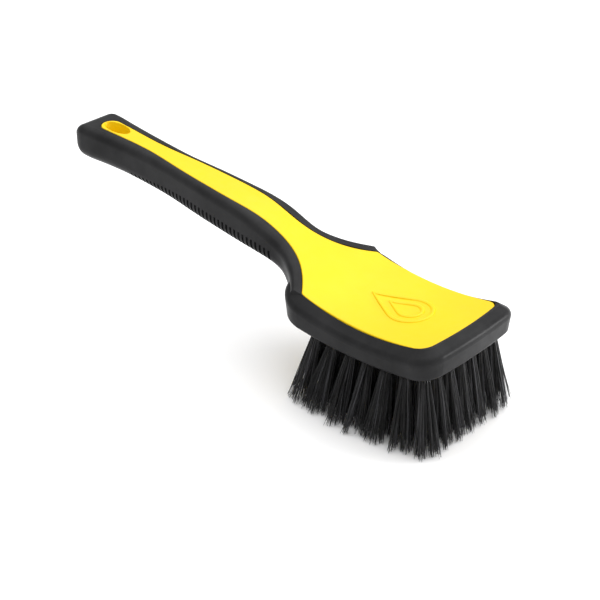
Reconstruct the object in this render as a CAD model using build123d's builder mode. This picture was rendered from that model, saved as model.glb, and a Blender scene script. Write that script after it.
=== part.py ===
from build123d import *
import math
import os

# Wheel brush: a hard plastic core with a soft black overmould, and 49 bristle tufts
# held in blind holes by flat wire anchors. Nothing on it moves.
# Frame: millimetres, +Z up, +X towards the toe of the head, the handle towards -X,
# the origin on the surface that the bristle tips stand on, under the middle tuft's tip.

# ---- driving dimensions ----

# Top line of the brush in side view, from the handle's end to the toe: (x, z)
TOP_LINE = [
    (-252, 92.0), (-200, 89.3), (-150, 85.5), (-122, 83.1), (-103, 80.4), (-85, 74.8),
    (-60, 65.7), (-46, 60.6), (-28, 57.5), (-9, 56.4), (10, 57.3), (30, 60.4), (50, 65.4),
]

# Handle and neck stations: x, half width, height of the underside, height of the top
HANDLE_STATIONS = [
    (-243, 15.3, 70.2, 91.4),
    (-232, 14.6, 69.8, 90.9),
    (-212, 12.9, 69.0, 89.9),
    (-190, 11.8, 67.0, 88.6),
    (-172, 11.8, 65.2, 87.2),
    (-150, 13.4, 63.0, 85.5),
    (-128, 14.7, 60.9, 83.6),
    (-108, 15.7, 59.2, 81.3),
    (-95, 15.9, 57.9, 78.3),
    (-85, 15.8, 56.2, 74.8),
    (-76, 16.8, 53.6, 71.5),
    (-69, 20.0, 51.2, 68.9),
    (-63, 24.0, 49.2, 66.8),
    (-57, 29.4, 47.4, 64.6),
    (-52, 35.0, 46.2, 62.6),
    (-46, 41.0, 45.0, 60.6),
]
HANDLE_TOP_RADIUS = 4.8
HANDLE_BOTTOM_RADIUS = 7.5
HANDLE_END_ROUND = 9.3
HANDLE_END_CORNER = 7.0
HANDLE_END_TURN = 80.0
HANDLE_END_STEPS = 5
HANDLE_CORE_END_X = -54.0

# Hard core: the panel that shows on top, and the body under the soft skin
PANEL_END_X = -237.8
PANEL_EDGE = [
    (-231, 6.4), (-211, 5.5), (-192, 5.2), (-165, 7.3), (-140, 8.7), (-112, 9.0), (-88, 8.1),
    (-73, 10.5), (-63, 15.3), (-55, 22.0), (-47.3, 30.9),
]
PANEL_HEAD_MIDDLE = (-6.0, 31.4)
PANEL_TOE_CORNER = (34.5, 30.9)
PANEL_TOE_X = 37.2
PANEL_TOE_RADIUS = 7.5
PANEL_SHOULDER_RADIUS = 2.5
PANEL_DEPTH = 8.0
PANEL_EDGE_ROUND = 0.5
GAP_WIDTH = 0.35
GAP_DEPTH = 1.1
SKIN = 2.6

# Head block: its outline is set on a level plane, and its walls draw in below that
HEAD_PLANE_Z = 68.0
HEAD_HALF = 39.4
HEAD_TOE_X = 46.4
HEAD_TOE_BOW = 2.6
HEAD_HEEL_X = -64.6
HEAD_TOE_RADIUS = 14.0
HEAD_HEEL_RADIUS = 20.0
HEAD_DRAFT = 6.0
HEAD_DEPTH = 32.0
SCOOP_RADIUS = 170.0
SCOOP_X = -8.5
SCOOP_Z = 56.3
BELLY_RADIUS = 250.0
BELLY_X = -15.0
BELLY_Z = 40.5
RIM_BEVEL_OUT = 7.4
RIM_BEVEL_DOWN = 5.2
RIM_RIDGE_RADIUS = 4.2
RIM_BOTTOM_RADIUS = 2.0
RIM_WALL = 3.4
RIM_COVER = 5.0
CREASE_INNER = (-47.4, 31.6)
CREASE_OUTER = (-55.5, 33.8)

# Hanging hole: an oval slot with a flared mouth
HANG_X = -226.4
HANG_HALF_LENGTH = 8.0
HANG_HALF_WIDTH = 3.6
HANG_MOUTH_HALF_LENGTH = 10.8
HANG_MOUTH_HALF_WIDTH = 5.6
HANG_MOUTH_Z = 92.2
HANG_FLARE_DEPTH = 8.0

# Grip ribs across the underside of the handle
RIB_COUNT = 36
RIB_PITCH = 3.33
RIB_FIRST_X = -202.3
RIB_GROOVE = 1.6
RIB_DEPTH = 1.0
RIB_HEIGHT = 9.5
RIB_FIRST_HEIGHT = 5.0
RIB_GROWING = 14

# Bristle tufts: a grid of holes, fanning out from the roots to the tips. The tips stand
# widest just behind the middle of the head and close up towards the toe.
TUFT_ROWS = 7
ROOT_PITCH_X = 11.9
ROOT_PITCH_Y = 9.3
ROOT_SHIFT_X = -2.3
TIP_PITCH_X = 13.5
TIP_SHIFT_X = -1.5
TIP_PITCH_Y = 13.2
TIP_NARROWING = 0.19
TIP_WIDEST = -1
ROOT_RADIUS = 2.6
TIP_RADIUS = 5.0
STRAIGHT_BELOW_MOUTH = 1.5
HOLE_DEPTH = 9.0
ANCHOR_LENGTH = 6.4
ANCHOR_THICKNESS = 0.6
ANCHOR_HEIGHT = 2.2
ANCHOR_LIFT = 1.6

HEAD_SPAN = 70.0
HANDLE_SPAN = 120.0
FAR = 60.0


def belly_z(x):
    """Height of the head's curved underside."""
    return BELLY_Z + BELLY_RADIUS - math.sqrt(BELLY_RADIUS**2 - (x - BELLY_X) ** 2)


def scoop_z(x):
    """Height of the head's hollow top."""
    return SCOOP_Z + SCOOP_RADIUS - math.sqrt(SCOOP_RADIUS**2 - (x - SCOOP_X) ** 2)


def station_at(x):
    """The handle's half width and underside height at x, straight between stations."""
    for (x0, half0, low0, _), (x1, half1, low1, _) in zip(HANDLE_STATIONS, HANDLE_STATIONS[1:]):
        if x0 <= x <= x1:
            share = (x - x0) / (x1 - x0)
            return half0 + share * (half1 - half0), low0 + share * (low1 - low0)
    raise ValueError("x is off the handle")


def handle_section(x, half, low, high, top_radius, bottom_radius):
    """One section across the handle: a rectangle with rounded corners."""
    middle = (low + high) / 2
    with BuildSketch(Plane(origin=(x, 0, middle), x_dir=(0, 1, 0), z_dir=(1, 0, 0))) as section:
        Rectangle(2 * half, high - low)
        fillet(vertices().group_by(Axis.Y)[-1], top_radius)
        fillet(vertices().group_by(Axis.Y)[0], bottom_radius)
    return section.sketch


def handle_end(inset):
    """The rounded end: sections that draw in along a quarter of an ellipse."""
    x, half, low, high = HANDLE_STATIONS[0]
    depth = HANDLE_END_ROUND - inset
    corner = HANDLE_END_CORNER - inset
    height = high - low - 2 * inset
    with BuildPart() as end:
        for step in range(HANDLE_END_STEPS + 1):
            angle = math.radians(HANDLE_END_TURN * step / HANDLE_END_STEPS)
            share = 1 - math.cos(angle)
            scale = 1 - 2 * depth * share / height
            add(
                handle_section(
                    x - depth * math.sin(angle),
                    half - inset - corner * share,
                    low + inset + depth * share,
                    high - inset - depth * share,
                    scale * (HANDLE_TOP_RADIUS - inset),
                    scale * (HANDLE_BOTTOM_RADIUS - inset),
                )
            )
        loft()
    return end.part


def handle_body(inset):
    """The handle and neck, lofted through the stations and drawn in by inset all round."""
    top_radius = HANDLE_TOP_RADIUS - inset
    bottom_radius = HANDLE_BOTTOM_RADIUS - inset
    with BuildPart() as body:
        for x, half, low, high in HANDLE_STATIONS:
            add(handle_section(x, half - inset, low + inset, high - inset, top_radius, bottom_radius))
        loft()
        add(handle_end(inset))
    return body.part


def head_outline(inset):
    """The head block's plan: straight sides, a bowed toe and a rounded heel."""
    half = HEAD_HALF - inset
    toe = HEAD_TOE_X - inset
    heel = HEAD_HEEL_X + inset
    with BuildSketch() as outline:
        with BuildLine():
            Line((heel, -half), (toe - HEAD_TOE_BOW, -half))
            ThreePointArc((toe - HEAD_TOE_BOW, -half), (toe, 0), (toe - HEAD_TOE_BOW, half))
            Line((toe - HEAD_TOE_BOW, half), (heel, half))
            Line((heel, half), (heel, -half))
        make_face()
        fillet(vertices().group_by(Axis.X)[-1], HEAD_TOE_RADIUS - inset)
        fillet(vertices().group_by(Axis.X)[0], HEAD_HEEL_RADIUS - inset)
    return outline.sketch


def head_side(cover):
    """The head's side view between its belly and a line cover below its hollow top."""
    with BuildSketch(Plane.XZ.offset(-FAR)) as side:
        with BuildLine():
            ThreePointArc(*[(x, scoop_z(x) - cover) for x in (-HEAD_SPAN, SCOOP_X, HEAD_SPAN)])
            ThreePointArc(*[(x, belly_z(x)) for x in (-HEAD_SPAN, BELLY_X, HEAD_SPAN)])
            for x in (-HEAD_SPAN, HEAD_SPAN):
                Line((x, scoop_z(x) - cover), (x, belly_z(x)))
        make_face()
    return side.sketch


def head_block(inset, cover):
    """The head block, with drafted walls, drawn in by inset and lowered by cover."""
    with BuildPart() as block:
        with BuildSketch(Plane.XY.offset(HEAD_PLANE_Z)):
            add(head_outline(inset))
        extrude(amount=-HEAD_DEPTH, taper=HEAD_DRAFT)
        extrude(head_side(cover), amount=2 * FAR, mode=Mode.INTERSECT)
    return block.part


def soft_rim():
    """The outside of the head: bevelled from the panel's edge down to a rounded ridge."""
    with BuildPart() as rim:
        add(head_block(0, 0))
        top = faces().filter_by(GeomType.CYLINDER).sort_by(Axis.Z)[-1]
        chamfer(top.edges(), RIM_BEVEL_OUT, RIM_BEVEL_DOWN, reference=top)
        top = faces().filter_by(GeomType.CYLINDER).sort_by(Axis.Z)[-1]
        belly = faces().filter_by(GeomType.CYLINDER).sort_by(Axis.Z)[0]
        settled = top.edges() + belly.edges()
        level = [edge for edge in edges() if abs(edge.tangent_at(0.5).Z) < 0.5]
        ridge = [edge for edge in level if not any(edge.is_same(other) for other in settled)]
        fillet(ridge, RIM_RIDGE_RADIUS)
        belly = faces().filter_by(GeomType.CYLINDER).sort_by(Axis.Z)[0]
        fillet(belly.edges(), RIM_BOTTOM_RADIUS)
    return rim.part


def panel_outline(grow):
    """The hard panel's plan, from its rounded tail over the neck to the toe, grown by grow."""
    edge = [(x, y + grow) for x, y in PANEL_EDGE]
    middle_x, middle_y = PANEL_HEAD_MIDDLE[0], PANEL_HEAD_MIDDLE[1] + grow
    toe_x, toe_y = PANEL_TOE_CORNER[0] + grow, PANEL_TOE_CORNER[1] + grow
    tail_x, tail_y = edge[0]
    shoulder_x, shoulder_y = edge[-1]
    with BuildSketch() as outline:
        with BuildLine():
            ThreePointArc((tail_x, -tail_y), (PANEL_END_X - grow, 0), (tail_x, tail_y))
            for side in (-1, 1):
                Spline(*[(x, side * y) for x, y in edge])
                ThreePointArc(
                    (shoulder_x, side * shoulder_y),
                    (middle_x, side * middle_y),
                    (toe_x, side * toe_y),
                )
            ThreePointArc((toe_x, -toe_y), (PANEL_TOE_X + grow, 0), (toe_x, toe_y))
        make_face()
        fillet(vertices().group_by(Axis.X)[-1], PANEL_TOE_RADIUS)
        shoulders = [v for v in vertices() if abs(v.X - shoulder_x) < 1]
        fillet(shoulders, PANEL_SHOULDER_RADIUS)
    return outline.sketch


def panel_prism(above, below, grow=0):
    """The panel's plan, grown by grow, from below under its top line to above over it."""
    with BuildPart() as prism:
        with BuildSketch():
            add(panel_outline(grow))
        extrude(amount=HANDLE_SPAN)
        with BuildSketch(Plane.XZ.offset(-FAR)) as side:
            with BuildLine():
                for shift in (above, -below):
                    Spline(*[(x, z + shift) for x, z in TOP_LINE])
                for x, z in (TOP_LINE[0], TOP_LINE[-1]):
                    Line((x, z + above), (x, z - below))
            make_face()
        extrude(amount=2 * FAR, mode=Mode.INTERSECT)
    return prism.part


def hanging_hole():
    """The oval slot through the handle's end, and its flared mouth."""
    with BuildPart() as hole:
        with BuildSketch(Plane.XY.offset(HANG_MOUTH_Z + SKIN)):
            with Locations((HANG_X, 0)):
                Ellipse(HANG_HALF_LENGTH, HANG_HALF_WIDTH)
        extrude(amount=-FAR)
        with BuildSketch(Plane.XY.offset(HANG_MOUTH_Z)):
            with Locations((HANG_X, 0)):
                Ellipse(HANG_MOUTH_HALF_LENGTH, HANG_MOUTH_HALF_WIDTH)
        with BuildSketch(Plane.XY.offset(HANG_MOUTH_Z - HANG_FLARE_DEPTH)):
            with Locations((HANG_X, 0)):
                Ellipse(HANG_HALF_LENGTH, HANG_HALF_WIDTH)
        loft()
    return hole.part


def rib_grooves():
    """Short grooves across the handle's underside, of one depth all the way round it."""
    with BuildPart() as grooves:
        for i in range(RIB_COUNT):
            x = RIB_FIRST_X + i * RIB_PITCH
            half, low = station_at(x)
            growth = min(1, i / RIB_GROWING)
            height = RIB_FIRST_HEIGHT + growth * (RIB_HEIGHT - RIB_FIRST_HEIGHT)
            level = Plane(origin=(x, 0, low), x_dir=(0, 1, 0), z_dir=(1, 0, 0))
            with BuildSketch(level):
                Rectangle(FAR, 2 * height)
                with BuildSketch(mode=Mode.SUBTRACT):
                    with Locations((0, RIB_DEPTH + RIB_HEIGHT)):
                        Rectangle(2 * (half - RIB_DEPTH), 2 * RIB_HEIGHT)
                    fillet(vertices().group_by(Axis.Y)[0], HANDLE_BOTTOM_RADIUS - RIB_DEPTH)
            extrude(amount=RIB_GROOVE / 2, both=True)
    return grooves.part


def crease_cut():
    """What lies outside the creases where the neck's sides end on the head's bevel."""
    with BuildPart() as cut:
        for side in (-1, 1):
            with BuildSketch():
                with BuildLine():
                    Polyline(
                        (CREASE_INNER[0], side * CREASE_INNER[1]),
                        (CREASE_OUTER[0], side * CREASE_OUTER[1]),
                        (CREASE_OUTER[0], side * FAR),
                        (0, side * FAR),
                        (0, side * CREASE_INNER[1]),
                        close=True,
                    )
                make_face()
            extrude(amount=HANDLE_SPAN)
    return cut.part


def tuft_plane(row, place):
    """The plane at a hole's mouth, its normal up along the tuft, and the tuft's length."""
    i = place - TUFT_ROWS // 2
    j = row - TUFT_ROWS // 2
    root_x = i * ROOT_PITCH_X + ROOT_SHIFT_X
    root = Vector(root_x, j * ROOT_PITCH_Y, belly_z(root_x))
    tip_pitch_y = TIP_PITCH_Y - TIP_NARROWING * (i - TIP_WIDEST) ** 2
    tip = Vector(i * TIP_PITCH_X + TIP_SHIFT_X, j * tip_pitch_y, 0)
    return Plane(origin=root, z_dir=root - tip), (root - tip).length


def anchor_plane(row, place):
    """The plane through the middle of the anchor that holds a tuft."""
    plane, _ = tuft_plane(row, place)
    return plane.offset(HOLE_DEPTH - ANCHOR_LIFT)


def bristle_tuft(row, place):
    """One tuft as a closed solid: straight in its hole, then widening to its flat tip."""
    plane, length = tuft_plane(row, place)
    flare_length = length - STRAIGHT_BELOW_MOUTH
    growth = (TIP_RADIUS - ROOT_RADIUS) / flare_length
    with BuildPart() as tuft:
        with Locations(plane.offset(-STRAIGHT_BELOW_MOUTH)):
            Cylinder(
                ROOT_RADIUS,
                HOLE_DEPTH + STRAIGHT_BELOW_MOUTH,
                align=(Align.CENTER, Align.CENTER, Align.MIN),
            )
            Cone(
                ROOT_RADIUS + growth * FAR,
                ROOT_RADIUS,
                FAR,
                align=(Align.CENTER, Align.CENTER, Align.MAX),
            )
        split(bisect_by=Plane.XY, keep=Keep.TOP)
        with Locations(anchor_plane(row, place)):
            Box(ANCHOR_THICKNESS, ANCHOR_LENGTH, ANCHOR_HEIGHT, mode=Mode.SUBTRACT)
    return tuft.part


grid = [(row, place) for row in range(TUFT_ROWS) for place in range(TUFT_ROWS)]

# ---- flat wire anchors, one folded under each tuft's middle ----

with BuildPart() as tuft_anchors:
    with Locations(*[anchor_plane(row, place) for row, place in grid]):
        Box(ANCHOR_THICKNESS, ANCHOR_LENGTH, ANCHOR_HEIGHT)
tuft_anchors.part.label = "tuft_anchors"

# ---- the hard core: handle bar, head block and the panel that shows on top ----

with BuildPart() as handle_bar:
    add(handle_body(SKIN))
    split(bisect_by=Plane.YZ.offset(HANDLE_CORE_END_X), keep=Keep.BOTTOM)

with BuildPart() as handle_core:
    add(panel_prism(0, PANEL_DEPTH))
    top_face = faces().sort_by(SortBy.AREA)[-2:].sort_by(Axis.Z)[-1]
    fillet(top_face.edges(), PANEL_EDGE_ROUND)
    add(handle_bar.part)
    add(head_block(RIM_WALL, RIM_COVER))
    add(hanging_hole(), mode=Mode.SUBTRACT)
    with Locations(*[tuft_plane(row, place)[0] for row, place in grid]):
        Cylinder(ROOT_RADIUS, 2 * HOLE_DEPTH, mode=Mode.SUBTRACT)
    add(tuft_anchors.part, mode=Mode.SUBTRACT)
handle_core.part.label = "handle_core"

# ---- the soft overmould: grip and bumper rim in one skin over the core ----

with BuildPart() as grip_overmould:
    add(handle_body(0))
    add(crease_cut(), mode=Mode.SUBTRACT)
    add(soft_rim())
    add(panel_prism(FAR, PANEL_DEPTH), mode=Mode.SUBTRACT)
    add(panel_prism(FAR, GAP_DEPTH, GAP_WIDTH), mode=Mode.SUBTRACT)
    add(head_block(RIM_WALL, RIM_COVER), mode=Mode.SUBTRACT)
    add(handle_bar.part, mode=Mode.SUBTRACT)
    add(hanging_hole(), mode=Mode.SUBTRACT)
    add(rib_grooves(), mode=Mode.SUBTRACT)
grip_overmould.part.label = "grip_overmould"

# ---- the bristle tufts, row by row across the head ----

os.makedirs("parts", exist_ok=True)
export_step(handle_core.part, "parts/handle_core.step")
export_step(grip_overmould.part, "parts/grip_overmould.step")
export_step(tuft_anchors.part, "parts/tuft_anchors.step")
for row, place in grid:
    name = f"tuft_{row + 1}_{place + 1}"
    with BuildPart() as tuft:
        add(bristle_tuft(row, place))
    tuft.part.label = name
    export_step(tuft.part, f"parts/{name}.step")
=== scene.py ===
import math
import random

import bpy
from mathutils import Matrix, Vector
from mathutils.bvhtree import BVHTree


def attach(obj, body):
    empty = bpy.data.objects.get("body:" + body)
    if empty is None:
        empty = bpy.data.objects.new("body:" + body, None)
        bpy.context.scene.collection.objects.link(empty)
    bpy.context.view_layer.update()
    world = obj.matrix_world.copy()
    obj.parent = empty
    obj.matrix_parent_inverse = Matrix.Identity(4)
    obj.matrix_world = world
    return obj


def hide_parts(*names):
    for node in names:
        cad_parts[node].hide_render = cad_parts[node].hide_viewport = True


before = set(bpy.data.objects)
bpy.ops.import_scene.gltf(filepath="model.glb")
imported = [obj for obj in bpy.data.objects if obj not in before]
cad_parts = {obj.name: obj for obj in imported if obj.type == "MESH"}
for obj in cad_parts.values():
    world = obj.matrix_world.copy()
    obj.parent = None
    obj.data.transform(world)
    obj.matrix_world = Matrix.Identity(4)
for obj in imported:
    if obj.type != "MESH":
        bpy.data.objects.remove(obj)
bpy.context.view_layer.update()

# Wheel brush, in metres, in the CAD model's frame: +Z up, the toe of the head towards +X,
# the handle towards -X, the origin under the tip of the middle tuft.

MM = 0.001
SEED = 41

# ---- camera, floor and light ----

CAMERA_PLACE = (0.386, -0.500, 0.440)
CAMERA_TURN = 42.80
CAMERA_DOWN = 30.96
CAMERA_LENS_MM = 85.0
SENSOR_WIDTH_MM = 36.0
LIGHT_TARGET = (-0.06, 0, 0.05)
SOFTBOX_PLACE = (-0.05, 0.35, 1.65)
SOFTBOX_SIZE = (3.0, 2.6)
SOFTBOX_WATTS = 52
STRIP_PLACE = (1.10, 1.00, 0.30)
STRIP_SIZE = (0.7, 0.22)
STRIP_WATTS = 14.0
WORLD_COLOUR = (1, 1, 1, 1)
WORLD_STRENGTH = 0.52
FLOOR_SIDE = 12.0
FLOOR_COLOUR = (0.97, 0.97, 0.975, 1)
FLOOR_ROUGHNESS = 0.7


def make_camera():
    data = bpy.data.cameras.new("camera")
    data.lens = CAMERA_LENS_MM
    data.sensor_width = SENSOR_WIDTH_MM
    camera = bpy.data.objects.new("camera", data)
    camera.location = CAMERA_PLACE
    camera.rotation_euler = (math.radians(90 - CAMERA_DOWN), 0, math.radians(CAMERA_TURN))
    bpy.context.scene.collection.objects.link(camera)
    bpy.context.scene.camera = camera


def aim(obj, target):
    direction = Vector(target) - obj.location
    obj.rotation_euler = direction.to_track_quat("-Z", "Y").to_euler()


def area_light(name, place, size, watts):
    data = bpy.data.lights.new(name, "AREA")
    data.shape = "RECTANGLE"
    data.size, data.size_y = size
    data.energy = watts
    light = bpy.data.objects.new(name, data)
    light.location = place
    aim(light, LIGHT_TARGET)
    bpy.context.scene.collection.objects.link(light)


def make_lights():
    """A large soft box overhead, and a strip that draws a highlight along the toe's ridge."""
    area_light("overhead_softbox", SOFTBOX_PLACE, SOFTBOX_SIZE, SOFTBOX_WATTS)
    area_light("toe_strip", STRIP_PLACE, STRIP_SIZE, STRIP_WATTS)
    world = bpy.data.worlds.new("studio")
    world.use_nodes = True
    background = world.node_tree.nodes["Background"]
    background.inputs["Color"].default_value = WORLD_COLOUR
    background.inputs["Strength"].default_value = WORLD_STRENGTH
    bpy.context.scene.world = world
    bpy.context.scene.view_settings.view_transform = "Standard"


def make_floor():
    mesh = bpy.data.meshes.new("floor")
    reach = FLOOR_SIDE / 2
    corners = [(-reach, -reach, 0), (reach, -reach, 0), (reach, reach, 0), (-reach, reach, 0)]
    mesh.from_pydata(corners, [], [(0, 1, 2, 3)])
    floor = bpy.data.objects.new("floor", mesh)
    bpy.context.scene.collection.objects.link(floor)
    material = bpy.data.materials.new("pale_floor")
    material.use_nodes = True
    shader = material.node_tree.nodes["Principled BSDF"]
    shader.inputs["Base Color"].default_value = FLOOR_COLOUR
    shader.inputs["Roughness"].default_value = FLOOR_ROUGHNESS
    mesh.materials.append(material)


# ---- materials ----
# A noise's scale is in cells per metre and a bump's depth in metres.

NOISE_LOW, NOISE_HIGH = 0.3, 0.7


class Nodes:
    """Short calls for building a material's node tree."""

    def __init__(self, name):
        self.material = bpy.data.materials.new(name)
        self.material.use_nodes = True
        self.tree = self.material.node_tree
        self.shader = self.tree.nodes["Principled BSDF"]

    def add(self, kind, **settings):
        node = self.tree.nodes.new(kind)
        for key, value in settings.items():
            setattr(node, key, value)
        return node

    def link(self, source, target):
        self.tree.links.new(source, target)

    def set(self, **values):
        for key, value in values.items():
            self.shader.inputs[key.replace("_", " ")].default_value = value

    def place(self):
        return self.add("ShaderNodeTexCoord").outputs["Object"]

    def noise(self, scale, detail, roughness=0.5):
        node = self.add("ShaderNodeTexNoise")
        node.inputs["Scale"].default_value = scale
        node.inputs["Detail"].default_value = detail
        node.inputs["Roughness"].default_value = roughness
        self.link(self.place(), node.inputs["Vector"])
        return node.outputs["Fac"]

    def ramp(self, source, stops):
        node = self.add("ShaderNodeValToRGB")
        elements = node.color_ramp.elements
        while len(elements) < len(stops):
            elements.new(0.5)
        for element, (position, colour) in zip(elements, stops):
            element.position = position
            element.color = (*colour, 1)
        self.link(source, node.inputs["Fac"])
        return node.outputs["Color"]

    def span(self, source, low, high, from_low=NOISE_LOW, from_high=NOISE_HIGH):
        node = self.add("ShaderNodeMapRange")
        node.inputs["From Min"].default_value = from_low
        node.inputs["From Max"].default_value = from_high
        node.inputs["To Min"].default_value = low
        node.inputs["To Max"].default_value = high
        self.link(source, node.inputs["Value"])
        return node.outputs["Result"]

    def bump(self, source, depth, strength, after=None):
        node = self.add("ShaderNodeBump")
        node.inputs["Distance"].default_value = depth
        node.inputs["Strength"].default_value = strength
        self.link(source, node.inputs["Height"])
        if after is not None:
            self.link(after, node.inputs["Normal"])
        return node.outputs["Normal"]


def yellow_plastic():
    n = Nodes("core_plastic")
    cloud = n.noise(scale=22, detail=3)
    colour = n.ramp(cloud, [(NOISE_LOW, (0.80, 0.545, 0.0)), (NOISE_HIGH, (0.85, 0.585, 0.0))])
    n.link(colour, n.shader.inputs["Base Color"])
    n.link(n.span(n.noise(scale=140, detail=3), low=0.36, high=0.48), n.shader.inputs["Roughness"])
    n.set(Specular_IOR_Level=0.26)
    grain = n.bump(n.noise(scale=2600, detail=2), depth=0.00003, strength=0.35)
    ripple = n.bump(n.noise(scale=60, detail=2), depth=0.0002, strength=0.10, after=grain)
    n.link(ripple, n.shader.inputs["Normal"])
    return n.material


def soft_rubber():
    n = Nodes("soft_rubber")
    cloud = n.noise(scale=45, detail=4, roughness=0.6)
    colour = n.ramp(cloud, [(NOISE_LOW, (0.015, 0.015, 0.0155)), (0.75, (0.030, 0.030, 0.031))])
    n.link(colour, n.shader.inputs["Base Color"])
    n.link(n.span(n.noise(scale=160, detail=4), low=0.28, high=0.40), n.shader.inputs["Roughness"])
    n.set(Specular_IOR_Level=0.07)
    grain = n.bump(n.noise(scale=3200, detail=3), depth=0.00005, strength=0.4)
    dents = n.bump(n.noise(scale=90, detail=2), depth=0.0003, strength=0.12, after=grain)
    n.link(dents, n.shader.inputs["Normal"])
    return n.material


def black_bristle():
    """Black filament whose own shade differs at random from one filament to the next, with a few lighter
    ones painted in as highlight on single strands.
    """
    n = Nodes("bristle")
    island = n.add("ShaderNodeNewGeometry").outputs["Random Per Island"]
    # Painted highlight: the lightest stop turns a few filaments grey to stand in for light caught on
    # single strands; the two dark stops are the filaments' own black, varied at random.
    strand_tones_and_painted_highlights = [(0.0, (0.002, 0.002, 0.002)), (0.72, (0.006, 0.006, 0.0065)), (1.0, (0.080, 0.080, 0.088))]
    colour = n.ramp(island, strand_tones_and_painted_highlights)
    n.link(colour, n.shader.inputs["Base Color"])
    roughness = n.span(island, low=0.24, high=0.45, from_low=0.0, from_high=1.0)
    n.link(roughness, n.shader.inputs["Roughness"])
    n.set(Specular_IOR_Level=0.38)
    grain = n.bump(n.noise(scale=4000, detail=2), depth=0.00003, strength=0.3)
    n.link(grain, n.shader.inputs["Normal"])
    return n.material


def flat_wire():
    n = Nodes("anchor_wire")
    cloud = n.noise(scale=900, detail=3)
    colour = n.ramp(cloud, [(NOISE_LOW, (0.42, 0.42, 0.40)), (NOISE_HIGH, (0.58, 0.57, 0.55))])
    n.link(colour, n.shader.inputs["Base Color"])
    n.link(n.span(n.noise(scale=1500, detail=2), low=0.28, high=0.42), n.shader.inputs["Roughness"])
    n.set(Metallic=1.0)
    return n.material


# ---- bristle tufts ----

TUFT_ROWS = 7
FILAMENTS = 220
CLUMPS = 18
FILAMENT_RADIUS = 0.19 * MM
FILAMENT_THICKNESS = (0.8, 1.15)
FILAMENT_TAPER = 0.45
TWIST_REACH = 6
FILAMENT_SIDES = 4
FILAMENT_RINGS = 7
ROOT_RADIUS = 2.4 * MM
TIP_RADIUS = 7.9 * MM
CLUMP_RADIUS = 2.2 * MM
TIP_SCATTER = 1.1 * MM
TIP_LIFT = 0.3 * MM
TIP_RAGGED = 2.2 * MM
BOW = 0.8 * MM
STRAY_KICK = 3.0 * MM
STRAY_POWER = 4
FAN_POWER = 1.12
ROOT_END_REACH = 2.2 * MM
TIP_END_REACH = 0.2 * MM
HOLE_SHOWN = 7.5 * MM


def disc_point(rng, radius):
    angle = rng.uniform(0, 2 * math.pi)
    r = radius * math.sqrt(rng.random())
    return Vector((r * math.cos(angle), r * math.sin(angle), 0))


def add_filament(verts, faces, path, radius, twist):
    """A thin rod along path with flat ends, tapered towards its tip."""
    first = len(verts)
    for step, point in enumerate(path):
        ahead = path[min(step + 1, len(path) - 1)] - path[max(step - 1, 0)]
        across = ahead.orthogonal().normalized()
        other = ahead.cross(across).normalized()
        share = step / (len(path) - 1)
        r = radius * (1 - FILAMENT_TAPER * share**3)
        for side in range(FILAMENT_SIDES):
            angle = twist + 2 * math.pi * side / FILAMENT_SIDES
            verts.append(point + across * (r * math.cos(angle)) + other * (r * math.sin(angle)))
    for step in range(len(path) - 1):
        for side in range(FILAMENT_SIDES):
            a = first + step * FILAMENT_SIDES + side
            b = first + step * FILAMENT_SIDES + (side + 1) % FILAMENT_SIDES
            faces.append((a, b, b + FILAMENT_SIDES, a + FILAMENT_SIDES))
    last = first + (len(path) - 1) * FILAMENT_SIDES
    faces.append(tuple(range(last, last + FILAMENT_SIDES)))
    faces.append(tuple(reversed(range(first, first + FILAMENT_SIDES))))


def tuft_ends(node):
    """The middle of a CAD tuft's root at its top and of its flat tip, read from its mesh."""
    coords = [v.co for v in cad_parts[node].data.vertices]
    top = max(c.z for c in coords)
    low = min(c.z for c in coords)
    high_ring = [c for c in coords if c.z > top - ROOT_END_REACH]
    low_ring = [c for c in coords if c.z < low + TIP_END_REACH]
    return sum(high_ring, Vector()) / len(high_ring), sum(low_ring, Vector()) / len(low_ring)


def make_tuft(row, place, material):
    """A bundle of filaments in the place of one CAD tuft, gathered in clumps that fan outwards."""
    node = f"tuft_{row}_{place}"
    rng = random.Random(SEED * 1000 + row * 10 + place)
    top, tip = tuft_ends(node)
    axis = (tip - top).normalized()
    mouth = top + axis * HOLE_SHOWN
    clumps = [disc_point(rng, 1.0) for _ in range(CLUMPS)]
    verts, faces = [], []
    for _ in range(FILAMENTS):
        spot = disc_point(rng, 1.0)
        clump = min(clumps, key=lambda centre: (centre - spot).length)
        root = mouth + spot * ROOT_RADIUS
        spread = clump * TIP_RADIUS + (spot - clump) * CLUMP_RADIUS + disc_point(rng, TIP_SCATTER)
        end = tip + spread
        end.z = TIP_LIFT + abs(rng.gauss(0, TIP_RAGGED))
        bow = disc_point(rng, BOW)
        kick = disc_point(rng, STRAY_KICK) * rng.random() ** STRAY_POWER
        path = []
        for step in range(FILAMENT_RINGS):
            t = step / (FILAMENT_RINGS - 1)
            straight = root.lerp(end, t)
            fan = spread * (t**FAN_POWER - t)
            path.append(straight + fan + bow * math.sin(math.pi * t) + kick * t**STRAY_POWER)
        radius = FILAMENT_RADIUS * rng.uniform(*FILAMENT_THICKNESS)
        add_filament(verts, faces, path, radius, rng.uniform(0, TWIST_REACH))
    mesh = bpy.data.meshes.new(f"bristles_{row}_{place}")
    mesh.from_pydata(verts, [], faces)
    mesh.shade_smooth()
    mesh.materials.append(material)
    tuft = bpy.data.objects.new(f"bristles_{row}_{place}", mesh)
    bpy.context.scene.collection.objects.link(tuft)
    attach(tuft, "root")
    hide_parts(node)


# ---- emblem: two raised water drops, one inside the other, on the head's hard panel ----

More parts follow.
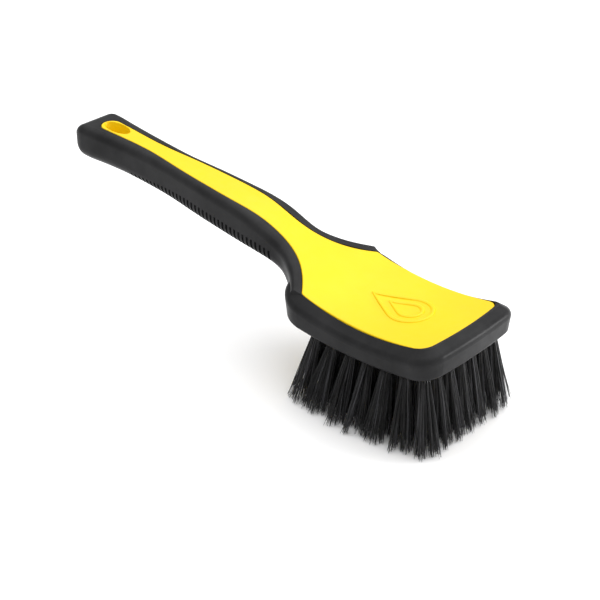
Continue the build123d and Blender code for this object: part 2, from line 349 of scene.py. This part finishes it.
DROP_MIDDLE_X = 1.0 * MM
OUTER_RADIUS, OUTER_REACH = 12.0 * MM, 25.0 * MM
INNER_RADIUS, INNER_REACH = 6.5 * MM, 13.5 * MM
DROP_STEPS = 48
BEAD_HALF_WIDTH = 1.3 * MM
BEAD_HEIGHT = 0.65 * MM
BEAD_SINK = 0.3 * MM
BEAD_STEPS = 6
LOOK_DOWN_FROM = 0.2
DOWN = Vector((0, 0, -1))


def drop_path(radius, reach):
    """A circle drawn out to a point towards the handle, as (x, y) places."""
    opening = math.acos(radius / reach)
    sweep = 2 * math.pi - 2 * opening
    path = [(DROP_MIDDLE_X - reach, 0.0)]
    for step in range(DROP_STEPS + 1):
        angle = math.pi + opening + sweep * step / DROP_STEPS
        path.append((DROP_MIDDLE_X + radius * math.cos(angle), radius * math.sin(angle)))
    return path


def bead_section():
    """A low half-round with its foot sunk a little, as (shift, height) places."""
    section = []
    for step in range(BEAD_STEPS + 1):
        angle = math.pi * step / BEAD_STEPS
        section.append((BEAD_HALF_WIDTH * math.cos(angle), BEAD_HEIGHT * math.sin(angle)))
    return section + [(-BEAD_HALF_WIDTH, -BEAD_SINK), (BEAD_HALF_WIDTH, -BEAD_SINK)]


def raised_bead(name, path, surface, material):
    """A closed loop of the bead's section that follows path over the surface."""
    section = bead_section()
    count, around = len(path), len(section)
    verts, faces = [], []
    for step in range(count):
        before, after = path[step - 1], path[(step + 1) % count]
        along = Vector((after[0] - before[0], after[1] - before[1], 0)).normalized()
        across = Vector((-along.y, along.x, 0))
        for shift, height in section:
            place = Vector((*path[step], LOOK_DOWN_FROM)) + across * shift
            hit = surface.ray_cast(place, DOWN)[0]
            verts.append(hit + Vector((0, 0, height)))
        for side in range(around):
            a, b = step * around + side, step * around + (side + 1) % around
            ahead = (step + 1) % count * around
            faces.append((a, b, ahead + (side + 1) % around, ahead + side))
    mesh = bpy.data.meshes.new(name)
    mesh.from_pydata(verts, [], faces)
    mesh.shade_smooth()
    mesh.materials.append(material)
    bead = bpy.data.objects.new(name, mesh)
    bpy.context.scene.collection.objects.link(bead)
    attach(bead, "root")


def make_emblem(material):
    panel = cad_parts["handle_core"].data
    surface = BVHTree.FromPolygons([v.co for v in panel.vertices], [p.vertices for p in panel.polygons])
    raised_bead("emblem_outer_drop", drop_path(OUTER_RADIUS, OUTER_REACH), surface, material)
    raised_bead("emblem_inner_drop", drop_path(INNER_RADIUS, INNER_REACH), surface, material)


def dress(node, material):
    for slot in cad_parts[node].material_slots:
        slot.link = "OBJECT"
        slot.material = material


make_camera()
make_floor()
make_lights()
yellow = yellow_plastic()
dress("handle_core", yellow)
make_emblem(yellow)
dress("grip_overmould", soft_rubber())
dress("tuft_anchors", flat_wire())
bristle = black_bristle()
for row in range(1, TUFT_ROWS + 1):
    for place in range(1, TUFT_ROWS + 1):
        make_tuft(row, place, bristle)
